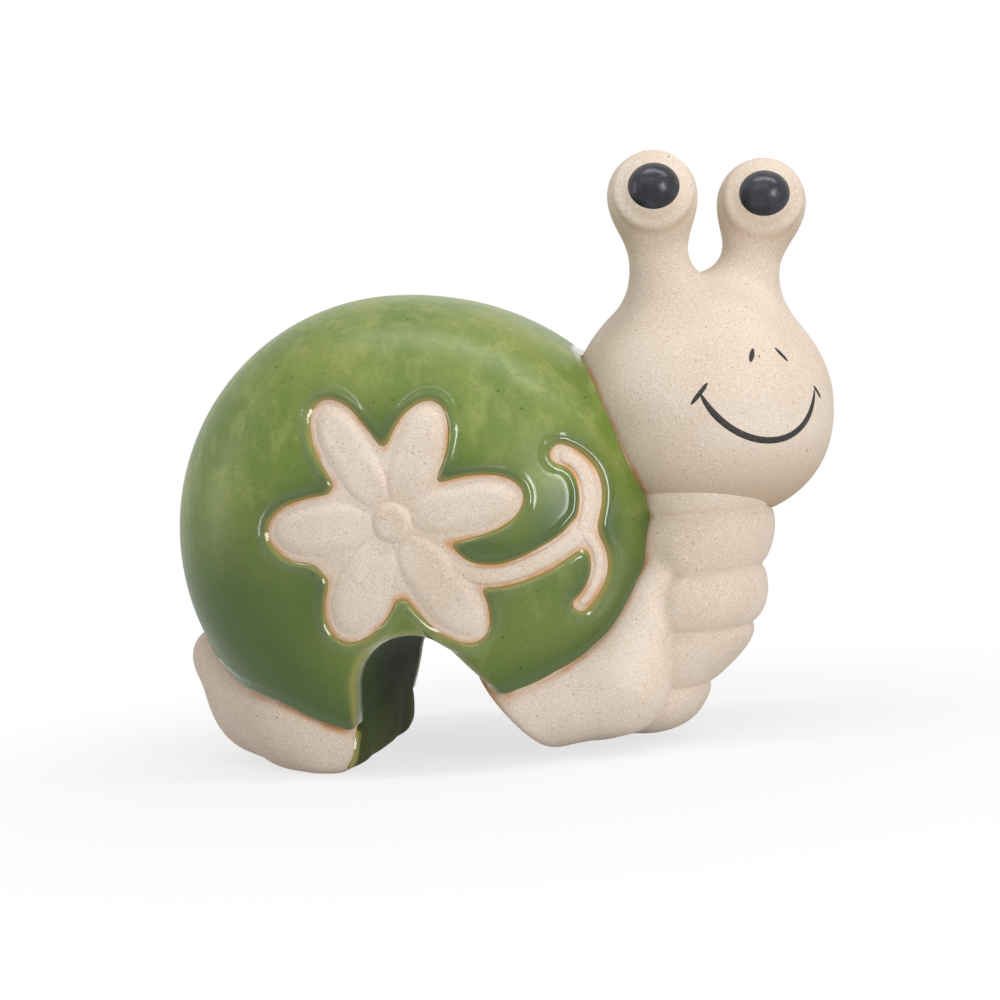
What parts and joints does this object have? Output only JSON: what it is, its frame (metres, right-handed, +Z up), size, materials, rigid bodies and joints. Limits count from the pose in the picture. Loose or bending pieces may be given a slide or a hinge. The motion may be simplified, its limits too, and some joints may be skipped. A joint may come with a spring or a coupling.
{
  "type": "ceramic snail ornament",
  "caption": "Smiling stoneware snail ornament with a green glazed shell, a raised flower and a slot underneath that sits astride a board or pot rim.",
  "frame": {"origin": "centre of the bounding box at the level of the feet", "axes": "+X towards the head, +Y to the snail's left, away from the side with the flower, +Z up"},
  "size_m": [0.1842, 0.0982, 0.1583],
  "materials": {
    "clay": "matte speckled cream stoneware",
    "green_glaze": "glossy",
    "black_glaze": "satin",
    "black_line": "matte"
  },
  "bodies": {
    "root": {"chest": "clay", "flower_disc": "clay", "flower_stem": "clay", "front_foot": "clay", "head_casting": "clay", "left_nostril": "black_line", "left_pupil": "black_glaze", "left_smile_tick": "black_line", "lower_tendril": "clay", "petal_1": "clay", "petal_2": "clay", "petal_3": "clay", "petal_4": "clay", "petal_5": "clay", "petal_6": "clay", "right_nostril": "black_line", "right_pupil": "black_glaze", "right_smile_tick": "black_line", "shell_casting": "clay", "shell_glaze": "green_glaze", "smile_line": "black_line", "tail_foot": "clay", "upper_tendril": "clay"}
  },
  "joints": []
}
